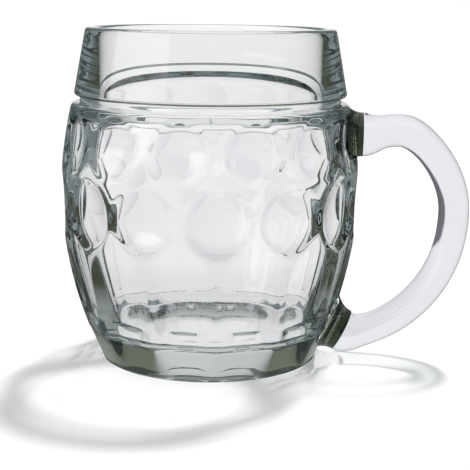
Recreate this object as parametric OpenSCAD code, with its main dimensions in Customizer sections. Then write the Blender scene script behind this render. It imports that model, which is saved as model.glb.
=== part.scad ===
// Dimpled glass beer mug: a barrel-shaped vessel with a thin dimpled wall, and a solid loop handle.
// Millimetres. The origin is the centre of the foot, on the table. +Z is up, +X runs to the handle.

/* [Vessel] */
// Height from the table to the top of the lip
mug_h = 120; // [105:1:150]
// Radius of the barrel at its widest
barrel_r = 54; // [46:0.5:62]
// Height of the widest part of the barrel
barrel_z = 62; // [52:0.5:70]
// Height of the collar
collar_h = 24; // [18:0.5:30]
// How far the collar's lower edge stands in from the barrel
collar_in = 5; // [4:0.1:6.5]
// How far the collar leans in up to the lip
rim_in = 4; // [2:0.1:5]
// Height of the groove between collar and shoulder
groove_h = 2.2; // [1.5:0.1:4]
// Depth of the groove below the collar's lower edge
groove_depth = 1.9; // [0.8:0.1:2.5]
// How far the barrel narrows up to its shoulder
shoulder_in = 3.4; // [2:0.1:4]
// Radius of the rounded top edge of the shoulder
shoulder_round = 3; // [1.5:0.1:4]
// Height of the faceted heel
heel_h = 12.5; // [10:0.5:16]
// How far the barrel narrows down to the corners of the heel
heel_in = 9.2; // [7:0.1:11]
// How far the heel narrows down to the foot
foot_in = 6.2; // [5:0.1:8]
// Rounding of the foot's edge
foot_round = 1.2; // [0.8:0.1:2.5]
// Rounding of the lip's two edges
lip_round = 1.4; // [0.5:0.1:1.8]
// Rounding of the collar's lower edge
collar_round = 1; // [0.4:0.1:1.8]

/* [Inside] */
// Thickness of the wall behind the lip
lip_t = 4.3; // [3.8:0.1:6]
// Thickness of the wall of the barrel
wall_t = 4; // [3.4:0.1:4.8]
// Thickness behind each dimple, as a share of the wall's
dimple_share = 0.8; // [0.6:0.05:0.85]
// Height over which the inside narrows from the barrel to the neck
neck_h = 10; // [9:0.5:13]
// How far below the collar's lower edge the neck ends
neck_drop = 0.5; // [0.2:0.1:3]
// Thickness of the base
floor_t = 10.5; // [8:0.5:13]
// Radius of the flat middle of the floor
flat_r = 21; // [10:0.5:26]
// Rise of the floor from that flat to the rounded corner
dish_rise = 1.5; // [0.8:0.1:3]
// Radius of the rounded corner between floor and wall
corner_round = 6; // [4:0.5:9]
// How far the inside narrows down to that corner
corner_in = 8.5; // [7.5:0.1:11]
// Width of the flat ring that the mug stands on
foot_ring = 6.6; // [4:0.1:14]
// Depth of the hollow under the foot
hollow_depth = 2.2; // [0.8:0.1:4]

/* [Pattern] */
// Dimples in each row round the barrel
dimple_count = 13; // [11:1:14]
// Width of an upper dimple, as a share of its step round the barrel
upper_fill = 0.835; // [0.6:0.005:0.86]
// Height of an upper dimple, as a share of its width
upper_shape = 0.945; // [0.85:0.005:1]
// Width of a lower dimple, as a share of its step round the barrel
lower_fill = 0.92; // [0.65:0.005:0.94]
// Height of a lower dimple, as a share of its width
lower_shape = 1; // [0.85:0.005:1.05]
// Radius of the hollow of a dimple, from side to side
dimple_curve = 30; // [26:1:40]
// Gap between the shoulder and the upper dimples
upper_gap = 0.2; // [0.2:0.1:4]
// Distance between the two rows, as a share of a step round the barrel
row_fill = 0.862; // [0.82:0.002:0.95]
// Width of a flute, as a share of its step round the barrel
flute_fill = 0.828; // [0.5:0.002:0.84]
// Radius of the hollow of a flute
flute_curve = 100; // [70:5:200]
// Distance from the heel up to the middle of a flute
flute_rise = 17.5; // [14:0.5:20]

/* [Handle] */
// Distance from the barrel's widest part to the middle of the grip
grip_out = 34.9; // [28:0.1:50]
// Height of the outermost point of the grip
grip_z = 55; // [47:0.5:64]
// Thickness of the grip, across the finger gap
grip_t = 11; // [8:0.2:15]
// Width of the grip, across the hand
grip_w = 15; // [10:0.2:18]
// Distance from the grip back to the thumb rest, where the bar starts to turn down
thumb_in = 19.5; // [15:0.5:24]
// Rise of the bar from the upper pad to the thumb rest
thumb_rise = 1.6; // [0:0.1:3]
// Slope of the bar at the thumb rest, in degrees below level
thumb_lean = 4; // [0:1:10]
// Extra thickness of the bar at the thumb rest
thumb_swell = 0.8; // [0:0.1:3]
// Distance from the grip back to the middle of the lower bend
bend_in = 15; // [10:0.5:20]
// Rise from the lower pad to the middle of the lower bend
bend_rise = 9.8; // [6:0.2:14]
// Turn of the bar at the lower bend, in degrees past straight down
bend_turn = 47; // [40:1:55]
// Radius of each pad where the handle meets it
pad_r = 7.9; // [6.5:0.1:9]
// Radius of the flare from a pad into the vessel
pad_flare = 8; // [6:0.5:12]
// Distance that the upper pad stands out from the barrel
upper_pad_out = 2.8; // [2:0.1:8]
// Distance from the collar's lower edge down to the middle of the upper pad
upper_pad_drop = 13.4; // [12:0.2:20]
// Distance that the lower pad stands out from the heel
lower_pad_out = 6; // [4:0.1:9]
// Height of the middle of the lower pad
lower_pad_z = 9.6; // [9:0.1:16]
// Angle of the lower pad below level
lower_pad_tilt = 27; // [15:1:32]

/* [Hidden] */
$fn = 96;
// Sides of the long arcs of the side profile
long_arc_fn = 360;
glass_green = [0.86, 0.90, 0.88, 0.45];
glass_pale = [0.90, 0.91, 0.93, 0.45];
// Overlap that makes a cut run clear of the surface it starts from
over = 1;

// Radii of the vessel's outside, worked in from the barrel
collar_r = barrel_r - collar_in;
rim_r = collar_r - rim_in;
groove_r = collar_r - groove_depth;
shoulder_r = barrel_r - shoulder_in;
heel_r = barrel_r - heel_in;
foot_r = heel_r - foot_in;
// Radii of its inside
mouth_r = rim_r - lip_t;
cavity_r = barrel_r - wall_t;
corner_r = cavity_r - corner_in;
corner_x = corner_r - corner_round;
hollow_r = foot_r - foot_ring;

// Sizes of the pattern, worked from one step round the barrel
dimple_step = 360 / dimple_count;
step_w = barrel_r * dimple_step * PI / 180;
upper_w = upper_fill * step_w;
upper_tall = upper_shape * upper_w;
lower_w = lower_fill * step_w;
lower_tall = lower_shape * lower_w;
flute_w = flute_fill * step_w;

// Heights down the vessel
collar_z = mug_h - collar_h;
shoulder_z = collar_z - groove_h - shoulder_round;
upper_z = shoulder_z - upper_gap - upper_tall / 2;
lower_z = upper_z - row_fill * step_w;
flute_z = heel_h + flute_rise;
neck_top = collar_z - neck_drop;
neck_low = neck_top - neck_h;
corner_z = floor_t + dish_rise + corner_round;

// The barrel is two arcs that share an upright tangent at its widest part
upper_arc = arc_radius(barrel_r - shoulder_r, shoulder_z - barrel_z);
lower_arc = arc_radius(barrel_r - heel_r, barrel_z - heel_h);
// So is the inside, which runs parallel to the barrel above its widest part
lined_arc = upper_arc - wall_t;
floor_arc = arc_radius(cavity_r - corner_r, barrel_z - corner_z);
// Its neck is an S of two equal arcs, which overlap by a hair so that they cross
neck_r = cavity_r - arc_run(lined_arc, neck_low - barrel_z);
neck_arc = arc_radius((neck_r - mouth_r) / 2, neck_h / 2);
neck_cross = 0.02;
hollow_arc = arc_radius(hollow_depth, hollow_r);

// Flat facets of the heel, one below each flute
facet_top = heel_r * cos(dimple_step / 2);
facet_foot = foot_r + foot_round / 2;
facet_lean = atan((facet_top - facet_foot) / heel_h);

// Middles of the two faces where the handle is joined on
upper_pad_z = collar_z - upper_pad_drop;
upper_pad_x = barrel_at(upper_pad_z) + upper_pad_out;
heel_at_pad = facet_foot + lower_pad_z * tan(facet_lean);
lower_pad_x = heel_at_pad + lower_pad_out / cos(lower_pad_tilt);
// Radius at which a pad's flare runs into the vessel
flare_share = 0.25;
flare_r = pad_r + flare_share * pad_flare;

// How far the handle's middle line runs nearly straight on either side of each knot
upper_reach = 5;
thumb_reach = 6.5;
grip_reach = 15;
bend_reach = 13;
lower_reach = 4;
grip_x = barrel_r + grip_out;
// The middle line in the XZ plane: each knot is a place, a heading in degrees and its reach
knots = [
    [[upper_pad_x, upper_pad_z], 0, upper_reach],
    [[grip_x - thumb_in, upper_pad_z + thumb_rise], -thumb_lean, thumb_reach],
    [[grip_x, grip_z], -90, grip_reach],
    [[grip_x - bend_in, lower_pad_z + bend_rise], -90 - bend_turn, bend_reach],
    [[lower_pad_x, lower_pad_z], -180 - lower_pad_tilt, lower_reach]
];
thumb = knots[1][0];
first_pad = knots[0][0];
last_pad = knots[len(knots) - 1][0];
// Length over which the thumb rest swells and fades
thumb_length = 8;
// Length over which the bar thins from a pad to the grip
root_length = 5.5;
// Rings between two knots, and sides of each ring
ring_steps = 11;
section_sides = 28;

// Radius of an arc that leaves an upright tangent and moves in by run over a height of rise
function arc_radius(run, rise) = (run * run + rise * rise) / (2 * run);
// How far an arc of radius r has moved in at a height of rise above its upright tangent
function arc_run(r, rise) = r - sqrt(r * r - rise * rise);
function barrel_arc(z) = z > barrel_z ? upper_arc : lower_arc;
function barrel_at(z) = barrel_r - arc_run(barrel_arc(z), z - barrel_z);
// Angle of the barrel's outward normal above level
function barrel_lean(z) = asin((z - barrel_z) / barrel_arc(z));
// Depth at which a hollow of a radius cuts a patch of the width given out of the barrel
function cut_depth(z, curve, w) = arc_run(barrel_at(z), w / 2) + arc_run(curve, w / 2);

// One arc of a side profile, filled in to the axis between two heights
module arc_band(widest, arc, z_from, z_to) {
    intersection() {
        translate([widest - arc, barrel_z]) circle(arc, $fn = long_arc_fn);
        translate([0, z_from]) square([widest + over, z_to - z_from]);
    }
}

module collar_profile() {
    polygon([
        [0, collar_z],
        [collar_r - collar_round, collar_z],
        [collar_r, collar_z + collar_round],
        [rim_r, mug_h - lip_round],
        [rim_r - lip_round, mug_h],
        [0, mug_h]
    ]);
    translate([collar_r - collar_round, collar_z + collar_round]) circle(collar_round);
    translate([rim_r - lip_round, mug_h - lip_round]) circle(lip_round);
}

module heel_profile() {
    polygon([[0, 0], [foot_r, 0], [foot_r + foot_round, foot_round], [heel_r, heel_h], [0, heel_h]]);
    translate([foot_r, foot_round]) circle(foot_round);
}

// Half section of the vessel before it is hollowed and patterned
module vessel_profile() {
    collar_profile();
    translate([0, shoulder_z - over]) square([groove_r, shoulder_round + groove_h + 2 * over]);
    shoulder_edge = shoulder_r - shoulder_round;
    translate([shoulder_edge, shoulder_z]) circle(shoulder_round);
    translate([0, shoulder_z - over]) square([shoulder_edge, shoulder_round + over]);
    arc_band(barrel_r, upper_arc, barrel_z, shoulder_z);
    arc_band(barrel_r, lower_arc, heel_h, barrel_z);
    heel_profile();
}

// Half section of the neck, where the inside narrows in an S from the barrel to the mouth
module neck_profile() {
    difference() {
        union() {
            intersection() {
                translate([neck_r - neck_arc, neck_low]) circle(neck_arc);
                translate([0, neck_low - over]) square([neck_r + over, neck_h / 2 + 2 * over]);
            }
            translate([0, neck_low - over]) square([neck_r - neck_arc, neck_h + over]);
            translate([0, neck_low + neck_h / 2]) square([neck_r, neck_h / 2]);
        }
        translate([mouth_r + neck_arc - neck_cross, neck_top]) circle(neck_arc + neck_cross);
    }
}

// Half section of the floor, a flat with a shallow dish round it and a rounded corner
module floor_profile() {
    dish_slope = dish_rise / (corner_x - flat_r);
    polygon([
        [0, floor_t],
        [flat_r, floor_t],
        [corner_x + over, floor_t + dish_rise + over * dish_slope],
        [corner_x + over, corner_z],
        [corner_x, corner_z + over],
        [0, corner_z + over]
    ]);
    intersection() {
        translate([corner_x, corner_z]) circle(corner_round);
        translate([0, floor_t - over]) square([corner_r + over, corner_z + 2 * over - floor_t]);
    }
}

// Half section of the drinking space, with the lip's inner edge rounded over
module cavity_profile() {
    translate([0, neck_top - over]) square([mouth_r, mug_h - neck_top + 2 * over]);
    neck_profile();
    arc_band(cavity_r, lined_arc, barrel_z, neck_low + over / 2);
    arc_band(cavity_r, floor_arc, corner_z - over, barrel_z);
    floor_profile();
    translate([0, mug_h - lip_round]) difference() {
        square([mouth_r + lip_round, lip_round + over]);
        translate([mouth_r + lip_round, 0]) circle(lip_round);
    }
}

// Places what it is given on the barrel at a height, with +Z along the barrel's outward normal
module on_barrel(turn, z) {
    rotate(turn) translate([barrel_at(z), 0, z]) rotate([0, 90 - barrel_lean(z), 0]) children();
}

// A short barrel round the X axis, as wide as a dimple's curve, that rounds over faster along X.
// Grown, it is the same barrel with its surface moved outwards all over.
module dimple_cutter(rise_curve, tall, grown) {
    half_length = tall / 2 + over + grown;
    rotate([0, 90, 0]) rotate_extrude() intersection() {
        translate([dimple_curve - rise_curve, 0]) circle(rise_curve + grown);
        translate([0, -half_length]) square([dimple_curve + grown + over, 2 * half_length]);
    }
}

// A row of dimple cutters for a width and a height, turned by a share of a step
module dimple_row(z, w, tall, turn, grown) {
    depth = cut_depth(z, dimple_curve, w);
    rise_curve = arc_radius(depth - arc_run(barrel_arc(z), tall / 2), tall / 2);
    for (k = [0 : dimple_count - 1]) {
        on_barrel((k + turn) * dimple_step, z) translate([0, 0, dimple_curve - depth])
            dimple_cutter(rise_curve, tall, grown);
    }
}

// Both rows of cutters, staggered by half a step
module dimples(grown) {
    dimple_row(upper_z, upper_w, upper_tall, 0.5, grown);
    dimple_row(lower_z, lower_w, lower_tall, 0, grown);
}

// The shallow flutes that run from the dimples down to the heel
module flutes() {
    for (k = [0 : dimple_count - 1]) {
        on_barrel((k + 0.5) * dimple_step, flute_z)
            translate([0, 0, flute_curve - cut_depth(flute_z, flute_curve, flute_w)])
            rotate([0, 90, 0]) cylinder(r = flute_curve, h = barrel_z, center = true);
    }
}

// Flat cuts that turn the round heel into a band of facets
module heel_cuts() {
    cut_w = 2 * heel_r * sin(dimple_step);
    for (k = [0 : dimple_count - 1]) {
        rotate((k + 0.5) * dimple_step) translate([facet_foot, 0, 0]) rotate([0, facet_lean, 0])
            translate([0, -cut_w / 2, -heel_h]) cube([heel_r, cut_w, 2 * heel_h]);
    }
}

// A round pad with a hollow flare round its root, its face at the origin and looking along +Z
module pad(depth) {
    rotate_extrude() translate([0, -depth]) difference() {
        square([flare_r, depth]);
        translate([pad_r + pad_flare, depth]) circle(pad_flare);
    }
}

module pads() {
    translate([upper_pad_x, 0, upper_pad_z]) rotate([0, 90, 0]) pad(upper_pad_out + wall_t);
    translate([lower_pad_x, 0, lower_pad_z]) rotate([0, 90 + lower_pad_tilt, 0])
        pad(2 * lower_pad_out);
}

// The drinking space, into which each dimple bulges
module cavity() {
    difference() {
        rotate_extrude() cavity_profile();
        dimples(dimple_share * wall_t);
    }
}

module mug_body() {
    color(glass_green) difference() {
        union() {
            difference() {
                rotate_extrude() vessel_profile();
                dimples(0);
                flutes();
                heel_cuts();
            }
            pads();
        }
        cavity();
        translate([0, 0, hollow_depth - hollow_arc]) sphere(hollow_arc);
    }
}

// The handle's middle line is a chain of cubic curves from knot to knot
function heading(angle) = [cos(angle), sin(angle)];
function cubic(a, b, c, d, t) =
    pow(1 - t, 3) * a + 3 * t * pow(1 - t, 2) * b + 3 * t * t * (1 - t) * c + pow(t, 3) * d;
function cubic_slope(a, b, c, d, t) =
    pow(1 - t, 2) * (b - a) + 2 * t * (1 - t) * (c - b) + t * t * (d - c);
function after(k) = knots[k][0] + knots[k][2] * heading(knots[k][1]);
function before(k) = knots[k][0] - knots[k][2] * heading(knots[k][1]);
function route(k, t) = cubic(knots[k][0], after(k), before(k + 1), knots[k + 1][0], t);
function route_slope(k, t) = cubic_slope(knots[k][0], after(k), before(k + 1), knots[k + 1][0], t);

// A bell that is 1 at a place and fades over a length
function bell(gap, length) = exp(-pow(gap / length, 2));
// Half a size of the section, eased from the pads to the grip
function eased(grip, place) =
    grip + (pad_r - grip) * bell(min(norm(place - first_pad), norm(place - last_pad)), root_length);

// One ring of the handle's section, square across its middle line
function ring(middle, slope) =
    let (
        across = [-slope[1], slope[0]] / norm(slope),
        half_t = eased(grip_t / 2, middle) + thumb_swell / 2 * bell(norm(middle - thumb), thumb_length),
        half_w = eased(grip_w / 2, middle)
    )
    [for (j = [0 : section_sides - 1])
        let (a = 360 * j / section_sides, p = middle + half_t * cos(a) * across)
        [p[0], half_w * sin(a), p[1]]];

module handle() {
    spans = len(knots) - 1;
    rings = concat(
        [for (k = [0 : spans - 1]) for (i = [0 : ring_steps - 1])
            ring(route(k, i / ring_steps), route_slope(k, i / ring_steps))],
        [ring(route(spans - 1, 1), route_slope(spans - 1, 1))]
    );
    n = section_sides;
    last = len(rings) - 1;
    walls = [for (i = [0 : last - 1]) for (j = [0 : n - 1])
        let (a = i * n + j, b = i * n + (j + 1) % n)
        each [[a, b, a + n], [b, b + n, a + n]]];
    ends = [[for (j = [n - 1 : -1 : 0]) j], [for (j = [0 : n - 1]) last * n + j]];
    color(glass_pale) polyhedron([for (r = rings) each r], concat(walls, ends));
}

mug_body();
handle();
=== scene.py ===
"""Looks of a dimpled glass beer mug: the vessel, its loop handle and the studio round them."""

import logging
import math
from dataclasses import dataclass
from enum import Enum

import bmesh
import bpy
from mathutils import Matrix, Vector


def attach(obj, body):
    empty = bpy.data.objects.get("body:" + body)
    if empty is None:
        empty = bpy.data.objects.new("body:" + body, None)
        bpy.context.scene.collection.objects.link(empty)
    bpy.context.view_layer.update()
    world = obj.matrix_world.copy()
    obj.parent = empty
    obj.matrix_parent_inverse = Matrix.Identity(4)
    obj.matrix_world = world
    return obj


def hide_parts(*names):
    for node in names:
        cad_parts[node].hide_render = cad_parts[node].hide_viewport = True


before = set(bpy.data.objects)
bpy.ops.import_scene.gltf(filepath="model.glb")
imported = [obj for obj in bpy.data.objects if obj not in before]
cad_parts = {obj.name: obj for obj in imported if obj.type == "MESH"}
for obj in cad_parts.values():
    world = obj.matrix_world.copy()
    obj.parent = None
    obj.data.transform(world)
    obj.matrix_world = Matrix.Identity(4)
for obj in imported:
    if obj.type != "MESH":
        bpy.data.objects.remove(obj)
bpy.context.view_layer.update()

LOG = logging.getLogger("mug")
TAU = 2 * math.pi
MM = 0.001  # one millimetre, in metres
TOUCH = 0.001  # lengths that differ by less than this are taken as equal, in millimetres
DOUBLE = 1e-5  # vertices closer than this are one vertex, in millimetres
SLIVER = 0.004  # thinner faces are dissolved where solids were joined, in millimetres
QUAD = 4  # faces with more corners than this are cut into triangles
CREASE = 40.0  # edges sharper than this stay sharp, in degrees

Colour = tuple[float, float, float, float]
Profile = list[Vector]
Route = list[tuple[Vector, Vector]]
Tree = bpy.types.ShaderNodeTree
Socket = bpy.types.NodeSocket


class Turn(Enum):
    """Where a pattern starts round the barrel, as a share of one step from the handle."""

    ON_HANDLE = 0.0
    HALF_STEP = 0.5


class Mark(Enum):
    """Values that a mesh carries to its material: painted shade, painted dimple shade, a floor free of
    painted edge shade, and cast shadow.
    """

    # painted shade on the pads, the heel, the line under the collar and the handle's inner edge
    SHADE = "shade"
    # painted shade in the dimples, darker on one side of each
    DIMPLE_SHADE = "hollow"
    # keeps the painted edge shade off the cavity's floor and corner
    FLOOR = "floor"
    CAST = "cast"


class Ray(Enum):
    """The outputs of a Light Path node that the studio tells apart."""

    CAMERA = "Is Camera Ray"
    SHADOW = "Is Shadow Ray"
    DIFFUSE = "Is Diffuse Ray"
    GLOSSY = "Is Glossy Ray"
    CLEAR = "Is Transmission Ray"
    MIRRORED = "Glossy Depth"


def arc_radius(run: float, rise: float) -> float:
    """Radius of an arc that starts upright and moves sideways by run over a height of rise."""
    return (run * run + rise * rise) / (2 * run)


def arc_run(radius: float, rise: float) -> float:
    """How far an arc of a radius has moved sideways at a height above its upright tangent."""
    return radius - math.sqrt(radius * radius - rise * rise)


def soft_max(a: float, b: float, blend: float) -> float:
    """The larger of two numbers, with the change from one to the other rounded over a blend."""
    return (a + b + math.sqrt((a - b) ** 2 + blend * blend)) / 2


def ease(value: float, start: float, end: float) -> float:
    """A smooth step from 0 at start to 1 at end."""
    t = min(1.0, max(0.0, (value - start) / (end - start)))
    return t * t * (3 - 2 * t)


def spread(start: float, end: float, steps: int) -> list[float]:
    """Evenly spaced numbers from start to end, both included."""
    return [start + (end - start) * i / steps for i in range(steps + 1)]


def arc_points(
    centre: tuple[float, float], radius: float, start: float, end: float, steps: int
) -> Profile:
    """Points along an arc of a side profile.

    Args:
        centre: distance from the axis, and height, of the arc's centre.
        radius: radius of the arc.
        start: angle of the first point above level, in degrees.
        end: angle of the last point above level, in degrees.
        steps: how many stretches the arc is cut into.

    Returns:
        The points, both ends included.
    """
    angles = [math.radians(angle) for angle in spread(start, end, steps)]
    return [
        Vector((centre[0] + radius * math.cos(a), 0, centre[1] + radius * math.sin(a))) for a in angles
    ]


def lathe(points: Profile, steps: int) -> bmesh.types.BMesh:
    """Turn a side profile about the Z axis.

    Args:
        points: the profile, in the XZ plane.
        steps: how many steps a full turn has.

    Returns:
        A closed mesh, with its faces pointing outwards.
    """
    bm = bmesh.new()
    verts = [bm.verts.new(p) for p in points]
    edges = [bm.edges.new(pair) for pair in zip(verts, verts[1:])]
    bmesh.ops.spin(
        bm, geom=verts + edges, cent=(0, 0, 0), axis=(0, 0, 1), angle=TAU, steps=steps, use_merge=True
    )
    bmesh.ops.remove_doubles(bm, verts=bm.verts, dist=DOUBLE)
    bmesh.ops.recalc_face_normals(bm, faces=bm.faces)
    return bm


def new_object(name: str, bm: bmesh.types.BMesh, size: float = 1.0) -> bpy.types.Object:
    """Make an object of a mesh, at the origin.

    Args:
        name: name of the object and its mesh.
        bm: the mesh, which is freed.
        size: factor on the mesh's own units.

    Returns:
        The new object, linked to the scene.
    """
    bmesh.ops.scale(bm, vec=(size, size, size), verts=bm.verts)
    mesh = bpy.data.meshes.new(name)
    bm.to_mesh(mesh)
    bm.free()
    piece = bpy.data.objects.new(name, mesh)
    bpy.context.scene.collection.objects.link(piece)
    return piece


def clean(mesh: bpy.types.Mesh) -> None:
    """Take the slivers out of a joined mesh, so that every edge has two faces.

    Args:
        mesh: the joined mesh, in millimetres.
    """
    bm = bmesh.new()
    bm.from_mesh(mesh)
    bmesh.ops.remove_doubles(bm, verts=bm.verts, dist=SLIVER)
    bmesh.ops.dissolve_degenerate(bm, dist=SLIVER, edges=bm.edges)
    bmesh.ops.triangulate(bm, faces=[f for f in bm.faces if len(f.verts) > QUAD])
    bmesh.ops.dissolve_degenerate(bm, dist=SLIVER, edges=bm.edges)
    bmesh.ops.recalc_face_normals(bm, faces=bm.faces)
    bm.to_mesh(mesh)
    bm.free()


def shade(mesh: bpy.types.Mesh) -> None:
    """Shade a mesh smooth, apart from its creases."""
    mesh.shade_smooth()
    mesh.set_sharp_from_angle(angle=math.radians(CREASE))


def grey(level: float) -> Colour:
    """A neutral colour of a brightness."""
    return (level, level, level, 1.0)


def feed(tree: Tree, socket: Socket, term: object) -> None:
    """Give an input of a node its value.

    Args:
        tree: the node tree.
        socket: the input.
        term: a number, a colour or the output of another node.
    """
    if isinstance(term, Socket):
        tree.links.new(term, socket)
    else:
        socket.default_value = term


def calculate(tree: Tree, operation: str, *terms: object) -> Socket:
    """Add a Math node.

    Args:
        tree: the node tree that gets it.
        operation: what the node does.
        terms: its inputs, as sockets or numbers.

    Returns:
        The node's result.
    """
    node = tree.nodes.new("ShaderNodeMath")
    node.operation = operation
    for socket, term in zip(node.inputs, terms):
        feed(tree, socket, term)
    return node.outputs["Value"]


def choose(tree: Tree, test: Socket, no: object, yes: object) -> Socket:
    """Blend from one colour to another by a value that may go past 1.

    Args:
        tree: the node tree.
        test: the value.
        no: colour or socket where the value is 0.
        yes: colour or socket where the value is 1.

    Returns:
        The blended colour.
    """
    mix = tree.nodes.new("ShaderNodeMix")
    mix.data_type = "RGBA"
    mix.clamp_factor = False
    feed(tree, mix.inputs["Factor"], test)
    for name, term in (("A", no), ("B", yes)):
        feed(tree, next(i for i in mix.inputs if i.name == name and i.type == "RGBA"), term)
    return next(o for o in mix.outputs if o.type == "RGBA")


def smooth_step(tree: Tree, value: Socket, start: float, end: float) -> Socket:
    """Add a smooth step.

    Args:
        tree: the node tree that gets it.
        value: the value that is tested.
        start: value at which the step begins.
        end: value at which it is complete.

    Returns:
        A value from 0 to 1.
    """
    step = tree.nodes.new("ShaderNodeMapRange")
    step.interpolation_type = "SMOOTHSTEP"
    for name, term in (("Value", value), ("From Min", start), ("From Max", end)):
        feed(tree, step.inputs[name], term)
    return step.outputs["Result"]


def carried(tree: Tree, mark: Mark) -> Socket:
    """Read a value that the mesh carries.

    Args:
        tree: the material's node tree.
        mark: which value it is.

    Returns:
        The value, which is 0 on a mesh without it.
    """
    node = tree.nodes.new("ShaderNodeAttribute")
    node.attribute_name = mark.value
    return node.outputs["Fac"]


def turn_level(tree: Tree, direction: Socket, degrees: float) -> Socket:
    """Turn a direction about the upright axis.

    Args:
        tree: the node tree.
        direction: the direction.
        degrees: how far it is turned.

    Returns:
        The turned direction.
    """
    node = tree.nodes.new("ShaderNodeVectorRotate")
    node.rotation_type = "Z_AXIS"
    node.inputs["Angle"].default_value = math.radians(degrees)
    tree.links.new(direction, node.inputs["Vector"])
    return node.outputs["Vector"]


def mix_shaders(tree: Tree, share: Socket, first: Socket, second: Socket) -> Socket:
    """Blend two shaders.

    Args:
        tree: the material's node tree.
        share: how much of the second shader shows.
        first: the shader where the share is 0.
        second: the shader where the share is 1.

    Returns:
        The blended shader.
    """
    node = tree.nodes.new("ShaderNodeMixShader")
    for socket, term in zip(node.inputs, (share, first, second)):
        tree.links.new(term, socket)
    return node.outputs["Shader"]


@dataclass(frozen=True)
class GlassSkin:
    """The fire-polished skin of moulded glass, in both glasses: a slow ripple, a trace of haze, random
    streaks of tint and the painted shade in the dimples.
    """

    ripple_scale: float = 55.0
    ripple_detail: float = 1.0
    haze_scale: float = 240.0
    haze_detail: float = 3.0
    streak_share: float = 0.12

    def noise(self, tree: Tree, scale: float, detail: float) -> Socket:
        """Add a noise that lies on the piece's own coordinates.

        Args:
            tree: the group's node tree.
            scale: how fine the noise is.
            detail: how many finer layers it has.

        Returns:
            A value from 0 to 1.
        """
        place = tree.nodes.new("ShaderNodeTexCoord")
        noise = tree.nodes.new("ShaderNodeTexNoise")
        for name, term in (("Vector", place.outputs["Object"]), ("Scale", scale), ("Detail", detail)):
            feed(tree, noise.inputs[name], term)
        return noise.outputs["Fac"]

    def build(self) -> Tree:
        """Make the node group.

        Returns:
            A group with a ripple height, a roughness and a tint that change over the surface; the tint
            carries random streaks and the painted dimple shade.
        """
        tree = bpy.data.node_groups.new("glass_skin", "ShaderNodeTree")
        sockets = (
            ("Haze", "INPUT", "NodeSocketFloat"),
            ("Dimple shade", "INPUT", "NodeSocketFloat"),
            ("Pale", "INPUT", "NodeSocketColor"),
            ("Streak and dimple shade", "INPUT", "NodeSocketColor"),
            ("Height", "OUTPUT", "NodeSocketFloat"),
            ("Roughness", "OUTPUT", "NodeSocketFloat"),
            ("Tint", "OUTPUT", "NodeSocketColor"),
        )
        for name, side, kind in sockets:
            tree.interface.new_socket(name, in_out=side, socket_type=kind)
        given = tree.nodes.new("NodeGroupInput")
        result = tree.nodes.new("NodeGroupOutput")
        ripple = self.noise(tree, self.ripple_scale, self.ripple_detail)
        haze = self.noise(tree, self.haze_scale, self.haze_detail)
        streaks = calculate(tree, "MULTIPLY", ripple, self.streak_share)
        # the painted dimple shade adds to the random streaks
        share = calculate(tree, "ADD", streaks, given.outputs["Dimple shade"])
        share = calculate(tree, "MINIMUM", share, 1.0)
        rough = calculate(tree, "MULTIPLY", haze, given.outputs["Haze"])
        tint = choose(tree, share, given.outputs["Pale"], given.outputs["Streak and dimple shade"])
        for name, term in (("Height", ripple), ("Roughness", rough), ("Tint", tint)):
            tree.links.new(term, result.inputs[name])
        return tree


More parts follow.
